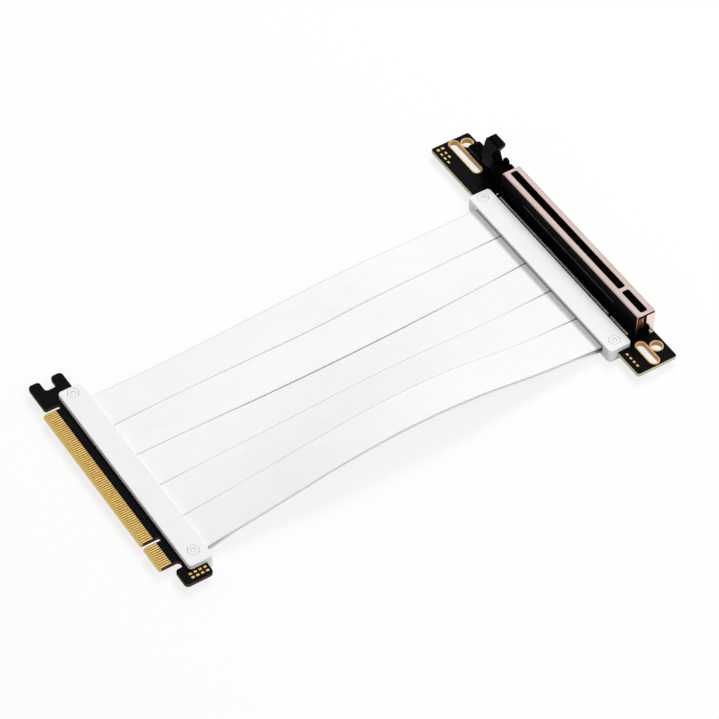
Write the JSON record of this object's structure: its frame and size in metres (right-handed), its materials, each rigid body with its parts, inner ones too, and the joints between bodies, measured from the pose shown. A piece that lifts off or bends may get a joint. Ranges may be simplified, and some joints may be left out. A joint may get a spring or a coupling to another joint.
{
  "type": "ribbon riser cable for a graphics card",
  "caption": "Flat white ribbon riser: a keyed edge-contact board with a hook tab, clamped ribbon strips, and a slot board with shielded slot, latch lever and slotted mounting holes.",
  "frame": {"origin": "middle of the two boards' common footprint, on the underside of the bottom covers", "axes": "+X from the plug board to the slot board, +Y towards the hook tab and the slot's latch, +Z out of the boards' top faces"},
  "size_m": [0.2172, 0.1404, 0.022],
  "materials": {
    "board_mask": "near-black solder mask on glass-fibre board",
    "black_nylon": "moulded, satin",
    "nickel_sheet": "bright nickel-plated folded sheet",
    "gold_plating": "flat immersion gold",
    "white_nylon": "moulded, satin",
    "ribbon_film": "smooth white film jacket"
  },
  "bodies": {
    "root": {"plug_board": "board_mask", "slot_board": "board_mask", "slot_housing": "black_nylon", "slot_shield": "nickel_sheet", "mount_pad_upper": "gold_plating", "mount_pad_lower": "gold_plating", "plug_top_cover": "white_nylon", "plug_bottom_cover": "white_nylon", "plug_screw_lower": "white_nylon", "plug_nut_lower": "white_nylon", "plug_screw_upper": "white_nylon", "plug_nut_upper": "white_nylon", "slot_top_cover": "white_nylon", "slot_bottom_cover": "white_nylon", "slot_screw_lower": "white_nylon", "slot_nut_lower": "white_nylon", "slot_screw_upper": "white_nylon", "slot_nut_upper": "white_nylon", "ribbon_upper_1": "ribbon_film", "ribbon_lower_1": "ribbon_film", "ribbon_upper_2": "ribbon_film", "ribbon_lower_2": "ribbon_film", "ribbon_upper_3": "ribbon_film", "ribbon_lower_3": "ribbon_film", "ribbon_upper_4": "ribbon_film", "ribbon_lower_4": "ribbon_film", "ribbon_upper_5": "ribbon_film", "ribbon_lower_5": "ribbon_film"},
    "latch": {"latch_lever": "black_nylon"}
  },
  "joints": [
    {"name": "latch_hinge", "type": "hinge", "parent": "root", "child": "latch", "pos_m": [0.10455, 0.04065, 0.0085], "axis": [-1, 0, 0], "range_deg": [0, 6]}
  ]
}
